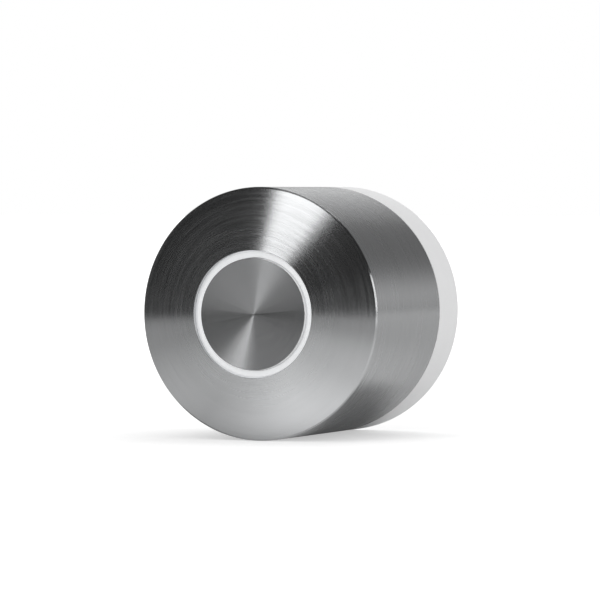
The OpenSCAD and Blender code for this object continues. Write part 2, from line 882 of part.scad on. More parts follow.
// size is along the radius, across it, and the height off the board's face
module chip(angle, orbit, size) {
    at(board_front + seat) rotate(angle) translate([orbit - size.x / 2, -size.y / 2, 0])
        cube([size.x, size.y, size.z - seat]);
}

module board_chips() {
    processor = [5, 5, 0.9];
    motor_driver = [4, 6, 1.2];
    memory = [4, 4, 0.8];
    charger = [3, 3, 0.9];
    color([0.1, 0.1, 0.11]) {
        chip(train_turn + 90, chip_orbit, processor);
        chip(train_turn + 180, chip_orbit, motor_driver);
        chip(train_turn + 270, chip_orbit, memory);
        at(board_at - charger.z) rotate(train_turn + 225)
            translate([core_room_r - 0.6 - charger.x / 2, -charger.y / 2, 0])
                cube([charger.x, charger.y, charger.z - seat]);
    }
}

module radio_module() {
    module_len = 9.6;
    module_h = 1.5;
    side_gap = 1;
    color([0.75, 0.75, 0.76])
        chip(train_turn, chip_orbit, [chip_room - 2 * side_gap, module_len, module_h]);
}

module led_chips() {
    led_w = 1.1;
    led_len = 1.6;
    color([0.95, 0.93, 0.75]) for (k = [0:led_count - 1])
        chip(k * 360 / led_count, led_orbit, [led_w, led_len, led_t]);
}

module switch_body() {
    color([0.12, 0.12, 0.13]) difference() {
        at(board_front + seat) translate([-switch_w / 2, -switch_w / 2, 0])
            cube([switch_w, switch_w, switch_front - board_front - seat]);
        bore(switch_front - plunger_in - button_travel - pin_room, switch_front,
             plunger_r + run_fit);
    }
}

module switch_plunger() {
    color([0.85, 0.84, 0.8])
        disc(switch_front - plunger_in, plunger_front, plunger_r);
}

module light_guide() {
    color([0.96, 0.97, 0.98])
        turned([[guide_in, lip_room_at], [guide_in, guide_at], [guide_r, guide_at],
                [guide_r, guide_step_at], [guide_flange_r, guide_step_at],
                [guide_flange_r, guide_step_at - guide_flange_t],
                [guide_r, guide_step_at - guide_flange_t], [guide_r, guide_rear_at],
                [lip_r + lip_play, guide_rear_at], [lip_r + lip_play, lip_room_at]]);
}

module front_cover() {
    ledge_at = guide_step_at - guide_flange_t - seat;
    nose_gap = 0.45;
    wall = 1.6;
    nose_out = 0.2;
    nose_r_out = guide_flange_r + nose_out;
    top_in = cone_at(nose_r_out) - cone_t - nose_gap;
    top_out = cone_at(chassis_r) - cone_t - nose_gap;
    floor_step_at = guide_rear_at - 0.15;
    floor_edge_r = lip_r - 1.1;
    skirt_rear_at = board_front + 0.4;
    window_r = 0.85;
    window_at = board_front + 0.8;
    sleeve_r = 2.7;
    sleeve_front = cover_rim_at + 0.6;
    hole_r = 4.6;
    screw_play = 0.2;
    head_play = 0.1;
    color([0.14, 0.14, 0.15]) difference() {
        union() {
            turned([[hole_r, cover_floor_at], [hole_r, cover_floor_front],
                    [lip_r, cover_floor_front], [lip_r, floor_step_at],
                    [guide_room_r, floor_step_at], [guide_room_r, ledge_at],
                    [nose_r_out, ledge_at], [nose_r_out, top_in], [chassis_r, top_out],
                    [chassis_r, cover_rim_at], [cover_skirt_r, cover_rim_at],
                    [cover_skirt_r, skirt_rear_at], [cover_skirt_in, skirt_rear_at],
                    [cover_skirt_in, cover_rim_at], [inner_wall_r, top_in - wall],
                    [inner_wall_r, window_at], [floor_edge_r, window_at],
                    [floor_edge_r, cover_floor_at]]);
            intersection() {
                disc(board_front + seat, sleeve_front, cover_skirt_r);
                union() for (a = cover_screw_angles)
                    disc(board_front + seat, sleeve_front, sleeve_r,
                         polar(cover_screw_orbit, a));
            }
        }
        for (a = cover_screw_angles) {
            bore(board_front, front_edge, cover_screw_r + screw_play,
                 polar(cover_screw_orbit, a));
            bore(cover_head_at - seat, bezel_at, cover_head_r + head_play,
                 polar(cover_screw_orbit, a));
        }
        for (k = [0:led_count - 1])
            bore(window_at, guide_rear_at, window_r, polar(led_orbit, k * 360 / led_count));
        for (a = pin_angles)
            bore(cover_floor_at, cover_floor_front, pin_r + run_fit, polar(pin_orbit, a));
        ring(seat_groove_at, cover_floor_front + over, spring_seat_out, spring_seat_in);
    }
}

module front_cover_screws() {
    head_h = 0.9;
    length = 10;
    color(screw_black) for (a = cover_screw_angles)
        at(cover_head_at + head_h, polar(cover_screw_orbit, a))
            pan_screw(cover_screw_r, cover_head_r, head_h, length);
}

module angle_sensor_board() {
    edge_gap = 0.2;
    board_r = core_room_r - edge_gap;
    chip_w = 3;
    chip_t = 0.4;
    color(board_green) {
        disc(sensor_at + chip_t, cradle_at - seat, board_r);
        at(sensor_at) translate([-chip_w / 2, -chip_w / 2, 0])
            cube([chip_w, chip_w, chip_t + eps]);
    }
}

module charge_contacts() {
    color([0.85, 0.7, 0.35]) for (k = [-1.5:1.5])
        translate([k * contact_pitch, -pocket_at, pocket_z + contact_sink])
            cylinder(h = charge_board_z - charge_board_t - seat - pocket_z - contact_sink,
                     r = contact_r, $fn = small_fn);
}

module charge_magnets() {
    height = 1.5;
    color(nickel) for (side = [-1, 1])
        translate([side * charge_magnet_x, -pocket_at, pocket_z + charge_magnet_in + seat])
            cylinder(h = height, r = charge_magnet_r, $fn = small_fn);
}

module charge_board() {
    board_w = 10.4;
    board_len = 4.4;
    color(board_green)
        block(board_w / 2, pocket_at - board_len / 2, pocket_at + board_len / 2,
              charge_board_z - charge_board_t, charge_board_z);
}

module flex_strip() {
    bend_shift = 0.8;
    bend_at = pocket_at - bend_shift;
    board_gap = 0.1;
    color([0.75, 0.45, 0.15]) {
        block(flex_w / 2, bend_at, board_at - board_gap, flex_z, flex_z + flex_t);
        block(flex_w / 2, bend_at, bend_at + flex_t, charge_board_z + seat,
              flex_z + flex_t);
    }
}

// Push button
module button_cap() {
    color(steel_brushed)
        turned([[0, button_at - button_t], [0, button_at - button_dish],
                [button_r, button_at],
                [button_r, skirt_at + lip_t], [lip_r, skirt_at + lip_t],
                [lip_r, skirt_at], [button_r - skirt_t, skirt_at],
                [button_r - skirt_t, button_at - button_t]]);
}

module button_carrier() {
    stem_r = 1.6;
    color([0.2, 0.2, 0.21]) difference() {
        union() {
            disc(carrier_at, carrier_front, button_r - skirt_t - fit);
            disc(plunger_front + seat, carrier_at + eps, stem_r);
            for (a = pin_angles)
                disc(board_front + button_travel + pin_room, carrier_at + eps, pin_r,
                     polar(pin_orbit, a));
        }
        ring(carrier_at - over, spring_top_at, spring_seat_out, spring_seat_in);
    }
}

// The spring is one unbroken tube along a helix of a few open turns
spring_wire_r = 0.22;
spring_turns = 3;
spring_r = (spring_seat_in + spring_seat_out) / 2;
spring_rings_per_turn = 8;
spring_sides = 6;
spring_start = seat_groove_at + spring_wire_r + seat;
spring_end = spring_top_at - spring_wire_r - seat;
spring_steps = spring_turns * spring_rings_per_turn;
spring_rise = (spring_end - spring_start) / spring_steps;
function spring_point(i, j) =
    let (turn = 360 * i / spring_rings_per_turn, around = 360 * j / spring_sides,
         r = spring_r + spring_wire_r * cos(around))
    [r * cos(turn), r * sin(turn), spring_start + spring_rise * i
     + spring_wire_r * sin(around)];

module button_spring() {
    last = spring_steps * spring_sides;
    points = [for (i = [0:spring_steps], j = [0:spring_sides - 1]) spring_point(i, j)];
    sides = [for (i = [0:spring_steps - 1], j = [0:spring_sides - 1], half = [0, 1])
        let (a = i * spring_sides + j, b = i * spring_sides + (j + 1) % spring_sides)
        half == 0 ? [a, a + spring_sides, b] : [b, a + spring_sides, b + spring_sides]];
    caps = [for (j = [1:spring_sides - 2], end = [0, 1])
        end == 0 ? [0, j, j + 1] : [last, last + j + 1, last + j]];
    color([0.75, 0.76, 0.77])
        rotate([90, 0, 0]) polyhedron(points, concat(sides, caps));
}

// Spindle and idlers
module drive_spindle() {
    key_w = 2;
    key_depth = 0.8;
    groove = 0.5;
    chamfer = 0.5;
    socket_front = hub_front - 0.3;
    color(steel_turned) difference() {
        union() {
            disc(hub_at, hub_front, hub_r);
            disc(hub_front - eps, neck_front, neck_r);
            disc(neck_front - eps, journal_front, journal_r);
        }
        bore(hub_at, socket_front, socket_d / 2);
        at(hub_at - eps) cylinder(h = chamfer, r1 = socket_d / 2 + chamfer, r2 = socket_d / 2);
        at(hub_at - eps) translate([-key_w / 2, 0, 0])
            cube([key_w, socket_d / 2 + key_depth, socket_front - hub_at]);
        ring(circlip_at, circlip_at + circlip_t + 2 * seat, journal_r + over,
             journal_r - groove);
    }
}

module spindle_gear() {
    color(brass) difference() {
        at(spindle_gear_at) linear_extrude(gear_w)
            gear_shape(drive_module, spindle_z, drive_play, spindle_phase);
        bore(spindle_gear_at, spindle_gear_at + gear_w, hub_r + fit);
    }
}

module sensor_magnet() {
    color(nickel) disc(journal_front + seat, journal_front + magnet_t, magnet_r);
}

module spindle_circlip() {
    clip_out = 1.4;
    clip_in = 0.45;
    clip_r = journal_r + clip_out;
    mouth = 2.4;
    color([0.25, 0.25, 0.26]) difference() {
        ring(circlip_at + seat, circlip_at + seat + circlip_t, clip_r,
             journal_r - clip_in);
        at(circlip_at) translate([-mouth / 2, 0, 0])
            cube([mouth, clip_r + over, circlip_t + over]);
    }
}

module idler_a_gear() {
    hub_out = 2.7;
    teeth_over = 0.7;
    rear = arbor_foot_at + seat;
    front = wall_at - seat;
    color(acetal) difference() {
        union() {
            at(idler_layer_at, idler_a_pos) linear_extrude(gear_w + teeth_over)
                gear_shape(drive_module, small_z, drive_play, idler_a_phase);
            at(ring_at, idler_a_pos) linear_extrude(ring_w)
                gear_shape(drive_module, idler_a_big_z, drive_play, idler_a_phase);
            disc(rear, front, hub_out, idler_a_pos);
        }
        bore(rear, front, arbor_r + run_fit, idler_a_pos);
    }
}

module idler_b_gear() {
    width = base_front - spindle_gear_at;
    color(acetal) difference() {
        at(spindle_gear_at, idler_b_pos) linear_extrude(width)
            gear_shape(drive_module, small_z, drive_play, idler_b_phase);
        bore(spindle_gear_at, base_front, arbor_r + run_fit, idler_b_pos);
    }
}

knob_shell();
knob_ring_gear();
base_housing();
mounting_plate();
clamp_grub_screws();
lock_grub_screws();
spindle_rear_bush();
thrust_washer();
core_chassis();
glide_rings();
spindle_front_bearing();
idler_a_arbor();
idler_b_arbor();
standoff_screws();
gearmotor_screws();
gearbox_housing();
motor_can();
motor_magnets();
motor_end_cap();
motor_bearings();
motor_rotor();
output_carrier();
output_pinion();
planet_2_1();
planet_2_2();
planet_2_3();
carrier_1();
planet_1_1();
planet_1_2();
planet_1_3();
battery_cell_1();
battery_cell_2();
battery_cell_3();
cell_cradle();
battery_tabs();
main_board();
board_chips();
radio_module();
led_chips();
switch_body();
switch_plunger();
light_guide();
front_cover();
front_cover_screws();
angle_sensor_board();
charge_contacts();
charge_magnets();
charge_board();
flex_strip();
button_cap();
button_carrier();
button_spring();
drive_spindle();
spindle_gear();
sensor_magnet();
spindle_circlip();
idler_a_gear();
idler_b_gear();
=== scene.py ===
"""A round smart lock for a door cylinder, laid on its side on a pale studio floor.

The turned outer parts are made again as fine meshes with rounded edges, and the button's spring
as a coil of round wire. All other CAD nodes are shown as they are. Every surface gets a
procedural material.
"""
import json
import math

import bpy
from mathutils import Matrix, Quaternion, Vector


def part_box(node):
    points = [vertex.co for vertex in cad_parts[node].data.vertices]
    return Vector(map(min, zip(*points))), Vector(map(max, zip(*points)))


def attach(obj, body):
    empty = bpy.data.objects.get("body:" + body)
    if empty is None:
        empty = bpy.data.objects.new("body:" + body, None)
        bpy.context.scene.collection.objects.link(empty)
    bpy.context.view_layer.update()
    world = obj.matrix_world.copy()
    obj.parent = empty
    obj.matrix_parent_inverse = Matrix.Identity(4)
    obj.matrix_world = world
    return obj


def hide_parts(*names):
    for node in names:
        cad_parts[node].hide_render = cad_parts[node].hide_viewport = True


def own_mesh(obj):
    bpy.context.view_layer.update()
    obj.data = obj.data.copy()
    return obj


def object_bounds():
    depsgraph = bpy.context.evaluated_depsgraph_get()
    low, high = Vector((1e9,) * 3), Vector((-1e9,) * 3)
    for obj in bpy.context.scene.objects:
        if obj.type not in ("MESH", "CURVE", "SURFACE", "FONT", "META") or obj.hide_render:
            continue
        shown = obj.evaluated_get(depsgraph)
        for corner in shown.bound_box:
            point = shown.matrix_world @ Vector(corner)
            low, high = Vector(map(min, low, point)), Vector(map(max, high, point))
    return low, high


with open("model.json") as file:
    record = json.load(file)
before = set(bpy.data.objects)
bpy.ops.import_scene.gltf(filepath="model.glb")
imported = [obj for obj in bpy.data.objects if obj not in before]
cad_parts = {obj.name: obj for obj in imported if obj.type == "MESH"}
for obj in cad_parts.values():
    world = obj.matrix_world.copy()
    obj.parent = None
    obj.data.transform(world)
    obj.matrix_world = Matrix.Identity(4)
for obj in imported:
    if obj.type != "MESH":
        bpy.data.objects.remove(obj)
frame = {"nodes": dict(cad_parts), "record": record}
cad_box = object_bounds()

MM = 0.001
# The rounding of a hidden edge, in millimetres.
SOFT = 0.1
# The range that most of a noise's values lie in.
MOST_NOISE = (0.3, 0.7)


# Node trees

class Graph:
    """One node tree, with short calls for the nodes that the materials here are made of."""

    def __init__(self, owner):
        owner.use_nodes = True
        self.owner = owner
        self.tree = owner.node_tree
        self.tree.nodes.clear()

    def add(self, kind, inputs=None, **settings):
        """A new node. An input's value is a number, a tuple or another node's output."""
        made = self.tree.nodes.new("ShaderNode" + kind)
        for key, value in settings.items():
            setattr(made, key, value)
        for key, value in (inputs or {}).items():
            if isinstance(value, bpy.types.NodeSocket):
                self.tree.links.new(value, made.inputs[key])
            else:
                made.inputs[key].default_value = value
        return made

    def math(self, operation, *values):
        return self.add("Math", dict(enumerate(values)), operation=operation).outputs[0]

    def vector(self, operation, *values):
        return self.add("VectorMath", dict(enumerate(values)), operation=operation).outputs[0]

    def measure(self, operation, a, b):
        """A number from two vectors: their distance or their dot product."""
        return self.add("VectorMath", {0: a, 1: b}, operation=operation).outputs["Value"]

    def scaled(self, vector, factor):
        node = self.add("VectorMath", {"Vector": vector, "Scale": factor}, operation="SCALE")
        return node.outputs[0]

    def xyz(self, vector):
        return list(self.add("SeparateXYZ", {0: vector}).outputs)

    def join(self, x, y, z):
        return self.add("CombineXYZ", {0: x, 1: y, 2: z}).outputs[0]

    def place(self):
        return self.add("TexCoord").outputs["Object"]

    def from_axis(self, x, z):
        """The distance from an axis along y."""
        squares = self.math("ADD", self.math("MULTIPLY", x, x), self.math("MULTIPLY", z, z))
        return self.math("SQRT", squares)

    def blend(self, a, b, share):
        """The share of a, with the rest of b."""
        rest = self.math("MULTIPLY", b, 1 - share)
        return self.math("ADD", self.math("MULTIPLY", a, share), rest)

    def noise(self, vector, scale=1.0, detail=3.0, roughness=0.5):
        inputs = {"Vector": vector, "Scale": scale, "Detail": detail, "Roughness": roughness}
        return self.add("TexNoise", inputs).outputs[0]

    def spots(self, size, detail=3.0):
        """Noise with spots of about this size, in millimetres."""
        return self.noise(self.place(), 1 / (size * MM), detail)

    def spread(self, value, low, high, start=0.0, end=1.0):
        """value, mapped from start..end to low..high and kept between them."""
        inputs = {"Value": value, "From Min": start, "From Max": end,
                  "To Min": low, "To Max": high}
        return self.add("MapRange", inputs).outputs[0]

    def step(self, value, start, end):
        """0 on start's side, 1 on end's side, and a smooth rise between them."""
        inputs = {"Value": value, "From Min": start, "From Max": end}
        return self.add("MapRange", inputs, interpolation_type="SMOOTHSTEP").outputs[0]

    def mix(self, factor, a, b):
        node = self.add("Mix", {0: factor, 6: a, 7: b}, data_type="RGBA")
        return node.outputs[2]

    def tones(self, factor, colour, dark, light):
        """The colour times a level that goes from dark to light."""
        return self.mix(factor, shade(colour, dark), shade(colour, light))

    def bump(self, height, strength, distance):
        inputs = {"Height": height, "Strength": strength, "Distance": distance}
        return self.add("Bump", inputs).outputs[0]

    def principled(self, inputs):
        shader = self.add("BsdfPrincipled", inputs)
        self.finish(shader.outputs[0])
        return self.owner

    def finish(self, shader, kind="OutputMaterial"):
        self.tree.links.new(shader, self.add(kind).inputs["Surface"])


def shade(colour, factor):
    return tuple(c * factor for c in colour[:3]) + (1.0,)


def grey(level):
    return (level, level, level, 1.0)


# Materials

# Radii, in millimetres, where the brushed steel changes: the button's wall and the cone's two
# edges.
BUTTON_R = 12.6
CONE_INNER_R = 14.0
CONE_OUTER_R = 28.0
# The width of the fine grooves, in millimetres, and the range that matters of their noise.
FINE_PITCH = 0.42
GROOVE_NOISE = (0.36, 0.64)


def grooves(g, place, arc, pitch, detail):
    """Noise that is drawn out round the axis: arc is how often it changes on the way."""
    depth_share = 0.7
    x, y, z, radius = place
    across = g.math("ADD", radius, g.math("MULTIPLY", y, depth_share))
    where = g.join(g.math("MULTIPLY", g.math("DIVIDE", x, radius), arc),
                   g.math("DIVIDE", across, pitch * MM),
                   g.math("MULTIPLY", g.math("DIVIDE", z, radius), arc))
    return g.noise(where, detail=detail, roughness=0.6)


def groove_direction(g, place, calm):
    """Round the axis, with the grooves leaning a little to one side or the other."""
    tilt = 0.035
    round_axis = g.add("Tangent", direction_type="RADIAL", axis="Y").outputs[0]
    normal = g.add("NewGeometry").outputs["Normal"]
    sideways = g.vector("CROSS_PRODUCT", normal, round_axis)
    lean = g.spread(grooves(g, place, 2.6, FINE_PITCH, 3.0), -tilt, tilt, *GROOVE_NOISE)
    leaning = g.vector("ADD", round_axis, g.scaled(sideways, g.math("MULTIPLY", lean, calm)))
    return g.vector("NORMALIZE", leaning)


def groove_roughness(g, radius, fine, calm, wall):
    """Lower towards the cone's rim and on the button's polished wall, with faint streaks."""
    roughness = 0.245
    rim_gain = 0.025
    polish = 0.12
    uneven = 0.03
    off_side = g.step(radius, (CONE_OUTER_R + 0.2) * MM, (CONE_OUTER_R - 0.1) * MM)
    on_cone = g.math("MULTIPLY", calm, off_side)
    finer = g.spread(radius, rim_gain, -rim_gain,
                     (CONE_INNER_R + 0.5) * MM, (CONE_OUTER_R - 1.5) * MM)
    streaks = g.math("MULTIPLY", calm, g.spread(fine, -uneven, uneven, *GROOVE_NOISE))
    rough = g.math("ADD", g.math("MULTIPLY_ADD", on_cone, finer, streaks), roughness)
    return g.math("MULTIPLY_ADD", wall, polish - roughness, rough)


def brushed_round_axis(name, colour):
    """Steel with fine grooves that run round the lock's axis, on its side, cone and button.

    The button has calmer grooves, and its wall is polished and painted a lighter grey, a painted
    reflection, so that it shows the light ring.
    """
    contrast = 0.07
    button_calm = 0.35
    broad_pitch = 1.8
    least_r = 0.05
    # Painted reflection: the button's wall is a lighter grey than the steel, to brighten the light
    # ring that it mirrors.
    polished = grey(0.82)
    g = Graph(bpy.data.materials.new(name))
    x, y, z = g.xyz(g.place())
    radius = g.math("MAXIMUM", g.from_axis(x, z), least_r * MM)
    place = (x, y, z, radius)
    calm = g.spread(radius, button_calm, 1.0, BUTTON_R * MM, CONE_INNER_R * MM)
    wall = g.math("MULTIPLY", g.step(radius, (BUTTON_R - 0.06) * MM, (BUTTON_R - 0.02) * MM),
                  g.step(radius, (BUTTON_R + 0.3) * MM, (BUTTON_R + 0.1) * MM))
    fine = grooves(g, place, 1.7, FINE_PITCH, 4.0)
    broad = grooves(g, place, 0.9, broad_pitch, 2.0)
    both = g.blend(fine, broad, share=0.7)
    tone = g.math("MULTIPLY", g.spread(both, -0.5, 0.5, *MOST_NOISE), calm)
    steel = g.tones(g.math("ADD", tone, 0.5), colour, 1 - contrast, 1 + contrast)
    return g.principled({
        "Base Color": g.mix(wall, steel, polished),
        "Metallic": 1.0,
        "Roughness": groove_roughness(g, radius, fine, calm, wall),
        "Anisotropic": 0.96,
        "Anisotropic Rotation": 0.25,
        "Tangent": groove_direction(g, place, calm),
        "Normal": g.bump(fine, strength=0.03, distance=0.01 * MM),
    })


def metal(name, colour, roughness, streaks=(1.0, 1.0, 1.0), pitch=0.4, contrast=0.1, metallic=1.0):
    """Plain or plated metal. streaks stretches its fine tool marks along one direction."""
    uneven = 0.07
    g = Graph(bpy.data.materials.new(name))
    where = g.vector("MULTIPLY", g.place(), tuple(s / (pitch * MM) for s in streaks))
    marks = g.noise(where, detail=4.0, roughness=0.6)
    stains = g.spots(size=4.0, detail=2.0)
    tone = g.blend(marks, stains, share=0.6)
    return g.principled({
        "Base Color": g.tones(tone, colour, 1 - contrast, 1 + contrast),
        "Metallic": metallic,
        "Roughness": g.spread(tone, roughness - uneven, roughness + uneven, *MOST_NOISE),
        "Normal": g.bump(marks, strength=0.15, distance=0.02 * MM),
    })


def plastic(name, colour, roughness, grain=0.12, depth=0.01, contrast=0.03):
    """Moulded plastic with a fine grain and slightly uneven gloss."""
    uneven = 0.05
    g = Graph(bpy.data.materials.new(name))
    texture = g.spots(grain)
    cloud = g.spots(size=7.0, detail=2.0)
    return g.principled({
        "Base Color": g.tones(cloud, colour, 1 - contrast, 1 + contrast),
        "Roughness": g.spread(texture, roughness - uneven, roughness + uneven, *MOST_NOISE),
        "Normal": g.bump(texture, strength=0.2, distance=depth * MM),
    })


def light_guide_plastic(name, colour):
    """Milky plastic with a faint painted glow, which stands for the light behind it and lifts the
    shade in the ring's groove.
    """
    g = Graph(bpy.data.materials.new(name))
    cloud = g.spots(size=2.5, detail=2.0)
    tone = g.tones(cloud, colour, 0.97, 1.0)
    return g.principled({
        "Base Color": tone,
        "Roughness": g.spread(cloud, 0.32, 0.42),
        # Painted glow: the ring lights itself, though it is no lamp.
        "Emission Color": tone,
        "Emission Strength": 0.3,
    })


def solder_mask(name, colour):
    """Green board with faint lighter tracks under its lacquer."""
    track_pitch = 2.2
    track_level = 1.7
    g = Graph(bpy.data.materials.new(name))
    x, _, z = g.xyz(g.place())
    cells = g.add("TexVoronoi", {"Vector": g.join(x, 0.0, z), "Scale": 1 / (track_pitch * MM)},
                  distance="MANHATTAN", feature="DISTANCE_TO_EDGE").outputs["Distance"]
    track = g.step(cells, 0.1, 0.06)
    lacquer = g.spots(size=1.5)
    base = g.tones(lacquer, colour, 0.85, 1.1)
    return g.principled({
        "Base Color": g.mix(track, base, shade(colour, track_level)),
        "Roughness": g.spread(lacquer, 0.3, 0.42),
        "Normal": g.bump(track, strength=0.3, distance=0.03 * MM),
    })


def cell_wrap(name, colour, metal_colour, front):
    """Shrink wrap round a cell, with the bare metal of its cap at the front end."""
    cap_t = 0.7
    wrap_edge = 0.15
    wrinkle_size = 0.9
    lengthways = 0.2
    g = Graph(bpy.data.materials.new(name))
    x, y, z = g.xyz(g.place())
    bare = g.step(y, front + cap_t * MM, front + (cap_t - wrap_edge) * MM)
    drawn_out = g.join(x, g.math("MULTIPLY", y, lengthways), z)
    wrinkle = g.noise(drawn_out, 1 / (wrinkle_size * MM))
    wrap = g.tones(wrinkle, colour, 0.85, 1.12)
    return g.principled({
        "Base Color": g.mix(bare, wrap, shade(metal_colour, 1.0)),
        "Metallic": bare,
        "Roughness": g.spread(wrinkle, 0.26, 0.4),
        "Normal": g.bump(wrinkle, strength=0.15, distance=0.05 * MM),
    })


def flex_film(name, colour):
    """Amber film with copper tracks along it."""
    track_pitch = 1.0
    track_level = 0.7
    g = Graph(bpy.data.materials.new(name))
    x, _, _ = g.xyz(g.place())
    wave = g.math("SINE", g.math("MULTIPLY", x, 2 * math.pi / (track_pitch * MM)))
    track = g.step(wave, 0.1, 0.5)
    speck = g.spots(size=0.6)
    film = g.tones(speck, colour, 0.85, 1.1)
    return g.principled({
        "Base Color": g.mix(track, film, shade(colour, track_level)),
        "Roughness": g.spread(speck, 0.26, 0.38),
        "Normal": g.bump(track, strength=0.4, distance=0.03 * MM),
    })


def windings(name, colour, steel, axis, shaft_r):
    """Copper wire wound lengthways on the rotor, and steel on its slim shaft."""
    wire_pitch = 0.28
    g = Graph(bpy.data.materials.new(name))
    x, _, z = g.xyz(g.vector("SUBTRACT", g.place(), axis))
    radius = g.from_axis(x, z)
    shaft = g.step(radius, 1.35 * shaft_r, 1.25 * shaft_r)
    turns = g.math("SINE", g.math("MULTIPLY", radius, 2 * math.pi / (wire_pitch * MM)))
    speck = g.spots(size=0.5)
    # The wire is darker in the grooves between its turns and lighter on their crests: painted
    # shade and painted highlight.
    wire = g.tones(g.spread(turns, 0.0, 1.0, -1.0, 1.0), colour, 0.6, 1.15)
    return g.principled({
        "Base Color": g.mix(shaft, wire, shade(steel, 1.0)),
        "Metallic": 0.95,
        "Roughness": g.spread(speck, 0.3, 0.45),
        "Normal": g.bump(turns, strength=0.4, distance=0.05 * MM),
    })


def slot_materials(record):
    """A material for each slot of the record, by the slot's name."""
    tone = {m["slot"]: m["base_color"] for m in record["materials"]}
    knob_grey = (0.60, 0.607, 0.615)
    base_grey = (0.928, 0.93, 0.936)
    lengthways = (1.0, 0.04, 1.0)
    crossways = (0.04, 1.0, 1.0)
    round_marks = (1.0, 6.0, 1.0)
    tooth_marks = (1.0, 0.2, 1.0)
    rotor_shaft_r = 0.75
    low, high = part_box("motor_rotor")
    rotor_axis = ((low.x + high.x) / 2, 0.0, (low.z + high.z) / 2)
    cell_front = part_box("battery_cell_1")[0].y
    return {
        "knob_steel": brushed_round_axis("steel_brushed_round", knob_grey),
        "plate_steel": metal("steel_ground", tone["plate_steel"], 0.34, crossways, 0.3,
                             contrast=0.18),
        "shaft_steel": metal("steel_turned", tone["shaft_steel"], 0.24, round_marks, 0.5),
        "screw_steel": metal("steel_black_oxide", tone["screw_steel"], 0.42, metallic=0.7,
                             contrast=0.2),
        "motor_steel": metal("steel_plated", tone["motor_steel"], 0.3, lengthways, 0.5),
        "magnet_nickel": metal("nickel_bright", tone["magnet_nickel"], 0.14, contrast=0.04),
        "magnet_dark": metal("magnet_sintered", tone["magnet_dark"], 0.6, metallic=0.4,
                             contrast=0.25),
        "gear_brass": metal("brass_machined", tone["gear_brass"], 0.28, tooth_marks, 0.3),
        "bush_bronze": metal("bronze_sintered", tone["bush_bronze"], 0.45, contrast=0.2),
        "contact_gold": metal("gold_plated", tone["contact_gold"], 0.18, contrast=0.05),
        "nickel_strip": metal("nickel_rolled", tone["nickel_strip"], 0.32, crossways, 0.4),
        "shield_tin": metal("tin_plated", tone["shield_tin"], 0.26, contrast=0.06),
        "spring_steel": metal("steel_drawn", tone["spring_steel"], 0.28, contrast=0.08),
        "rotor_copper": windings("rotor_windings", tone["rotor_copper"], tone["shaft_steel"],
                                 rotor_axis, rotor_shaft_r * MM),
        "gear_plastic": plastic("acetal_natural", tone["gear_plastic"], 0.38),
        "glide_plastic": plastic("acetal_glide", tone["glide_plastic"], 0.3, contrast=0.05),
        "base_white": plastic("plastic_white", base_grey, 0.36, grain=0.2, depth=0.006,
                              contrast=0.012),
        "dark_plastic": plastic("plastic_dark", tone["dark_plastic"], 0.5, grain=0.25, depth=0.03,
                                contrast=0.1),
        "cradle_plastic": plastic("plastic_grey", tone["cradle_plastic"], 0.52, grain=0.25,
                                  depth=0.03, contrast=0.1),
        "chip_black": plastic("epoxy_black", tone["chip_black"], 0.55, grain=0.08, depth=0.02,
                              contrast=0.15),
        "led_yellow": plastic("phosphor", tone["led_yellow"], 0.35, contrast=0.08),
        "guide_white": light_guide_plastic("guide_milky", tone["guide_white"]),
        "board_green": solder_mask("solder_mask", tone["board_green"]),
        "cell_wrap": cell_wrap("shrink_wrap", tone["cell_wrap"], tone["nickel_strip"], cell_front),
        "flex_amber": flex_film("flex_film", tone["flex_amber"]),
    }


def dress_nodes(nodes, materials):
    """Gives every CAD node the procedural material of its slot."""
    for node in nodes.values():
        for place in node.material_slots:
            place.material = materials[place.material.name]


# Fine meshes

def in_scene(name, data):
    """A new object with this data."""
    made = bpy.data.objects.new(name, data)
    bpy.context.scene.collection.objects.link(made)
    return made


def new_mesh(name, verts, faces):
    mesh = bpy.data.meshes.new(name)
    mesh.from_pydata(verts, [], faces)
    mesh.update()
    return mesh


def turned(radius, front, angle):
    """A point or direction at this angle round the lock's axis. front points out of the door."""
    return radius * math.cos(angle), -front, radius * math.sin(angle)


def in_metres(point):
    return tuple(part * MM for part in point)


def rounded_outline(corners, steps=6):
    """The closed outline as points with the normal before and after each of them.

    A corner is (radius, distance in front of the door, rounding) in millimetres. The corners
    run so that the solid is on the left, with the radius to the right and the front upwards.
    """
    points = []
    for i, corner in enumerate(corners):
        before, here, after = (Vector(corners[k % len(corners)][:2]) for k in (i - 1, i, i + 1))
        rounding = corner[2] if len(corner) > 2 else 0.0
        a, b = (here - before).normalized(), (after - here).normalized()
        normal_a, normal_b = Vector((a.y, -a.x)), Vector((b.y, -b.x))
        if not rounding:
            points.append((here, normal_a, normal_b))
            continue
        turn = math.atan2(a.x * b.y - a.y * b.x, a.dot(b))
        side = math.copysign(1.0, turn)
        start = here - a * rounding * math.tan(abs(turn) / 2)
        centre = start - normal_a * rounding * side
        for k in range(steps + 1):
            normal = normal_a.copy()
            normal.rotate(Matrix.Rotation(turn * k / steps, 2))
            points.append((centre + normal * rounding * side, normal, normal))
    return points


def between_rings(outline, on_axis, rings, angles):
    """The faces from each ring of vertices to the next, and a normal for each face's corners."""
    faces, normals = [], []
    for i in range(len(outline)):
        j = (i + 1) % len(outline)
        if on_axis[i] and on_axis[j]:
            continue
        for k in range(len(angles)):
            n = (k + 1) % len(angles)
            face = [(rings[i][k], outline[i][2], k), (rings[i][n], outline[i][2], n),
                    (rings[j][n], outline[j][1], n), (rings[j][k], outline[j][1], k)]
            if on_axis[i]:
                face.pop(1)
            elif on_axis[j]:
                face.pop(2)
            faces.append([vertex for vertex, _, _ in face])
            normals += [turned(normal.x, normal.y, angles[a]) for _, normal, a in face]
    return faces, normals


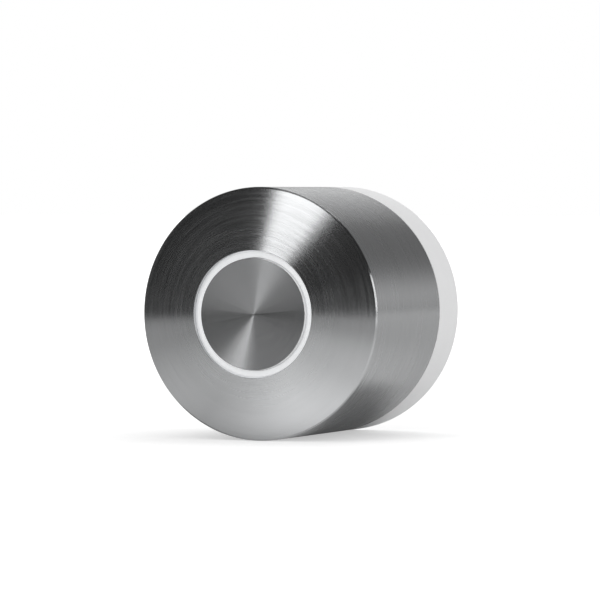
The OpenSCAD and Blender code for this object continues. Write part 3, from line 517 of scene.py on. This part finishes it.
def lathe(name, corners, segments=256):
    """A solid of revolution round the lock's axis, shaded with the outline's own normals."""
    nearly_zero = 1e-6
    outline = rounded_outline(corners)
    angles = [2 * math.pi * k / segments for k in range(segments)]
    on_axis = [point.x < nearly_zero for point, _, _ in outline]
    verts, rings = [], []
    for (point, _, _), pole in zip(outline, on_axis):
        start = len(verts)
        verts += [in_metres(turned(point.x, point.y, angle))
                  for angle in (angles[:1] if pole else angles)]
        rings.append([start] * segments if pole else range(start, start + segments))
    faces, normals = between_rings(outline, on_axis, rings, angles)
    mesh = new_mesh(name, verts, faces)
    mesh.shade_smooth()
    mesh.normals_split_custom_set(normals)
    return in_scene(name, mesh)


def coil(name, coil_r, wire_r, rear, front, turns, per_turn=48, sides=12):
    """A spring of round wire from rear to front, in millimetres in front of the door."""
    steps = turns * per_turn
    verts, faces = [], []
    for i in range(steps + 1):
        turn = 2 * math.pi * i / per_turn
        depth = rear + (front - rear) * i / steps
        for j in range(sides):
            around = 2 * math.pi * j / sides
            verts.append(in_metres(turned(coil_r + wire_r * math.cos(around),
                                          depth + wire_r * math.sin(around), turn)))
    for i in range(steps):
        for j in range(sides):
            a, b = i * sides + j, i * sides + (j + 1) % sides
            faces.append((a, a + sides, b + sides, b))
    faces.append(tuple(range(sides)))
    faces.append(tuple(reversed(range(steps * sides, (steps + 1) * sides))))
    mesh = new_mesh(name, verts, faces)
    mesh.shade_smooth()
    for cap in list(mesh.polygons)[-2:]:
        cap.use_smooth = False
    return in_scene(name, mesh)


def stand_for(piece, node, body, slot, materials):
    """The piece takes the CAD node's place, body and finish."""
    piece.data.materials.append(materials[slot])
    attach(piece, body)
    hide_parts(node)


def reach(node):
    """A turned node's largest radius and its two ends in front of the door, in millimetres."""
    low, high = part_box(node)
    return high.x / MM, -high.y / MM, -low.y / MM


def make_knob(materials):
    """The knob's shell: straight side, softened edge, shallow cone and the ring's opening."""
    wall = 1.3
    cone_wall = 1.25
    side_len = 39.0
    opening_r = 14.3
    edge = 0.35
    outer_r, rear, front = reach("knob_shell")
    inner_r = outer_r - wall
    shoulder = rear + side_len
    slope = (front - shoulder) / (outer_r - edge - opening_r)
    inner_top = shoulder + slope * (outer_r - edge - inner_r) - cone_wall
    corners = [(inner_r, rear, SOFT), (outer_r, rear, 0.12), (outer_r, shoulder - edge, 0.3),
               (outer_r - edge, shoulder, 0.25), (opening_r, front, 0.05),
               (opening_r, front - cone_wall, SOFT), (inner_r, inner_top, 0.3)]
    shell = lathe("knob_shell_fine", corners)
    stand_for(shell, "knob_shell", "knob", "knob_steel", materials)


def make_button(materials):
    """The push button's cap: slightly dished face, skirt and the lip that keeps it in."""
    face_t = 1.45
    skirt_t = 1.2
    lip_t = 0.5
    lip_out = 0.5
    dish = 0.65
    lip_r, rear, front = reach("button_cap")
    cap_r = lip_r - lip_out
    corners = [(0.0, front - face_t), (cap_r - skirt_t, front - face_t), (cap_r - skirt_t, rear),
               (lip_r, rear, SOFT), (lip_r, rear + lip_t, SOFT), (cap_r, rear + lip_t),
               (cap_r, front, 0.08), (0.0, front - dish)]
    cap = lathe("button_cap_fine", corners)
    stand_for(cap, "button_cap", "button", "knob_steel", materials)


def make_light_ring(materials):
    """The white ring that carries the light, with its flange and the tube behind it."""
    width = 1.35
    step_down = 0.77
    flange_t = 0.6
    flange_out = 1.5
    tube_in = 0.5
    lip_room = 1.07
    flange_r, rear, front = reach("light_guide")
    ring_r = flange_r - flange_out
    inner_r = ring_r - width
    lower_in = inner_r + tube_in
    step = front - step_down
    corners = [(inner_r, front - lip_room), (lower_in, front - lip_room), (lower_in, rear, SOFT),
               (ring_r, rear, SOFT), (ring_r, step - flange_t), (flange_r, step - flange_t, SOFT),
               (flange_r, step, SOFT), (ring_r, step), (ring_r, front, 0.15),
               (inner_r, front, 0.04)]
    ring = lathe("light_guide_fine", corners)
    stand_for(ring, "light_guide", "lock_base", "guide_white", materials)


def make_spring(materials):
    """The button's spring. It rests on the front cover, under the button."""
    wire_r = 0.22
    turns = 3
    outer_r, rear, front = reach("button_spring")
    spring = coil("button_spring_fine", outer_r - wire_r, wire_r,
                  rear + wire_r, front - wire_r, turns)
    stand_for(spring, "button_spring", "lock_base", "spring_steel", materials)
    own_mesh(spring)


# Studio

def make_camera():
    """The photograph's view: a long lens, a little to the right of the lock's axis."""
    lens = 260.4
    location = (0.38169, -0.94642, 0.02751)
    yaw = 0.39381
    pitch = 0.02506
    data = bpy.data.cameras.new("camera")
    data.lens = lens
    data.sensor_width = 36.0
    data.clip_start = 0.01
    data.clip_end = 100.0
    camera = in_scene("camera", data)
    camera.location = location
    camera.rotation_euler = (math.pi / 2 - pitch, 0.0, yaw)
    bpy.context.scene.camera = camera


def make_softbox(name, direction, distance, size, radiance, roll=0.0, shadow=True):
    """An area lamp that hangs in a direction from the object and faces it."""
    aim = Vector((0.0, -0.03, 0.0))
    data = bpy.data.lights.new(name, "AREA")
    data.shape = "RECTANGLE"
    data.size, data.size_y = size
    data.energy = radiance * math.pi * size[0] * size[1]
    data.use_shadow = shadow
    away = Vector(direction).normalized()
    turn = away.to_track_quat("Z", "Y") @ Quaternion((0.0, 0.0, 1.0), math.radians(roll))
    lamp = in_scene(name, data)
    lamp.location = aim + away * distance
    lamp.rotation_euler = turn.to_euler()
    lamp.visible_camera = False


def make_world():
    """A dim studio with a tall white backdrop at the rear left. The camera sees it all white.

    Fades up and down are between two heights of a direction: 0 is level and 1 straight up.
    """
    above_front, horizon_front = grey(0.028), grey(0.061)
    above_rear, horizon_rear, brink_rear = grey(0.181), grey(0.462), grey(0.412)
    white, fill = grey(1.0), grey(0.62)
    front_haze, rear_haze, brink = (0.12, 0.0), (0.3, 0.1), (0.08, 0.0)
    front_to_rear = (0.0, 0.6)
    towards_backdrop = (-0.5, 0.866, 0.0)
    backdrop_sides, backdrop_top = (0.8, 0.93), (0.62, 0.42)
    world = bpy.data.worlds.new("studio")
    bpy.context.scene.world = world
    g = Graph(world)
    direction = g.add("TexCoord").outputs["Generated"]
    _, y, z = g.xyz(direction)
    in_front = g.mix(g.step(z, *front_haze), above_front, horizon_front)
    low = g.mix(g.step(z, *brink), horizon_rear, brink_rear)
    behind = g.mix(g.step(z, *rear_haze), above_rear, low)
    room = g.mix(g.step(y, *front_to_rear), in_front, behind)
    nearness = g.measure("DOT_PRODUCT", direction, towards_backdrop)
    backdrop = g.math("MULTIPLY", g.step(nearness, *backdrop_sides), g.step(z, *backdrop_top))
    room = g.mix(backdrop, room, white)
    path = g.add("LightPath").outputs
    room = g.mix(path["Is Diffuse Ray"], room, fill)
    seen = g.math("MAXIMUM", path["Is Camera Ray"], path["Is Transmission Ray"])
    shader = g.add("Background", {"Color": g.mix(seen, room, white), "Strength": 1.0})
    g.finish(shader.outputs[0], "OutputWorld")


def floor_in_metal(g, place, level):
    """The floor's colour and glow as the metal sees them, with all places in metres.

    All of this is painted light and shade, which only the metal reflects. A painted pool of light
    in front of the object is bright, and falls off to a dim table, which is painted shade. Behind
    the object the floor is painted paler, on the right an apron is painted lit, and under the knob
    there is painted shade.
    """
    dim, pale, dark, shaded = grey(0.5), grey(0.95), grey(0.06), grey(0.32)
    apron_glow, under_glow = 0.22, 0.075
    x, y, _ = g.xyz(place)

    def away_from(at_x, at_y):
        return g.measure("DISTANCE", place, (at_x, at_y, level))

    def spot(at_x, at_y, middle, radius):
        """A glow that fades out from its middle to its radius."""
        return g.spread(away_from(at_x, at_y), middle, 0.0, 0.0, radius)

    in_pool = g.spread(away_from(0.03, -0.08), 0.0, 1.0, 0.16, 0.02)
    is_behind = g.step(y, 0.0, 0.12)
    on_apron = g.math("MULTIPLY", g.step(x, 0.12, 0.3), g.step(y, 0.05, -0.05))
    below_length = g.math("MULTIPLY", g.step(y, 0.0, -0.015), g.step(y, -0.06, -0.05))
    below_width = g.step(g.math("ABSOLUTE", x), 0.035, 0.029)
    under_knob = g.math("MULTIPLY", below_width, below_length)
    lit = g.math("MAXIMUM", g.step(y, -0.1, 0.2), g.step(away_from(0.2, 0.2), 0.95, 0.75))

    behind = g.spread(y, 0.62, 0.72, 0.2, 0.8)
    colour = g.mix(is_behind, g.mix(in_pool, dim, pale), behind)
    colour = g.mix(on_apron, colour, pale)
    colour = g.mix(under_knob, colour, shaded)
    colour = g.mix(lit, dark, colour)

    # Painted glow that only the metal sees: spots of light in front of the object, the lit apron,
    # and a lift in the painted shade under the knob.
    spots = g.math("ADD", spot(0.009, -0.068, middle=0.62, radius=0.030),
                   spot(0.003, -0.062, middle=0.2, radius=0.014))
    glow = g.math("MULTIPLY_ADD", on_apron, apron_glow, spots)
    return colour, g.math("MULTIPLY_ADD", under_knob, under_glow, glow)


def make_floor(level):
    """A pale floor. The camera sees it white, save for the object's shadow."""
    half = 8.0
    whiter_from, whiter_to = 0.2, 0.8
    least_white, most_white = 0.53, 1.1
    corners = [(-half, -half), (half, -half), (half, half), (-half, half)]
    mesh = new_mesh("floor", [(x, y, level) for x, y in corners], [(0, 1, 2, 3)])
    floor = in_scene("floor", mesh)
    g = Graph(bpy.data.materials.new("floor_pale"))
    place = g.place()
    path = g.add("LightPath").outputs
    plain = g.mix(g.noise(place, 3.0, detail=2.0), grey(0.80), grey(0.82))
    # What the metal sees of the floor is painted light and shade.
    metal_colour, metal_glow = floor_in_metal(g, place, level)
    lit = g.add("BsdfDiffuse", {"Color": g.mix(path["Is Glossy Ray"], plain, metal_colour)})
    seen = g.math("MAXIMUM", path["Is Camera Ray"], path["Is Transmission Ray"])
    away = g.measure("DISTANCE", place, (0.0, 0.0, level))
    white_out = g.spread(away, least_white, most_white, whiter_from, whiter_to)
    strength = g.math("MULTIPLY_ADD", seen, white_out,
                      g.math("MULTIPLY", path["Is Glossy Ray"], metal_glow))
    glow = g.add("Emission", {"Color": plain, "Strength": strength})
    g.finish(g.add("AddShader", {0: lit.outputs[0], 1: glow.outputs[0]}).outputs[0])
    mesh.materials.append(g.owner)


def make_studio(level):
    make_world()
    make_floor(level)
    make_softbox("softbox_front", (-0.141, -0.815, 0.565), distance=1.3, size=(0.39, 0.66),
                 radiance=2.25, roll=-13.0)
    make_softbox("softbox_strip", (-0.330, -0.93, 0.17), distance=1.3, size=(0.05, 0.34),
                 radiance=2.1, roll=-6.0)
    make_softbox("softbox_top", (0.1, 0.35, 0.93), distance=1.2, size=(0.9, 0.5), radiance=1.6)
    make_softbox("softbox_right", (0.93, -0.2, 0.20), distance=1.3, size=(0.6, 0.52),
                 radiance=2.4, shadow=False)
    bpy.context.scene.view_settings.view_transform = "Standard"


materials = slot_materials(frame["record"])
dress_nodes(frame["nodes"], materials)
make_knob(materials)
make_button(materials)
make_light_ring(materials)
make_spring(materials)
make_camera()
make_studio(cad_box[0].z)
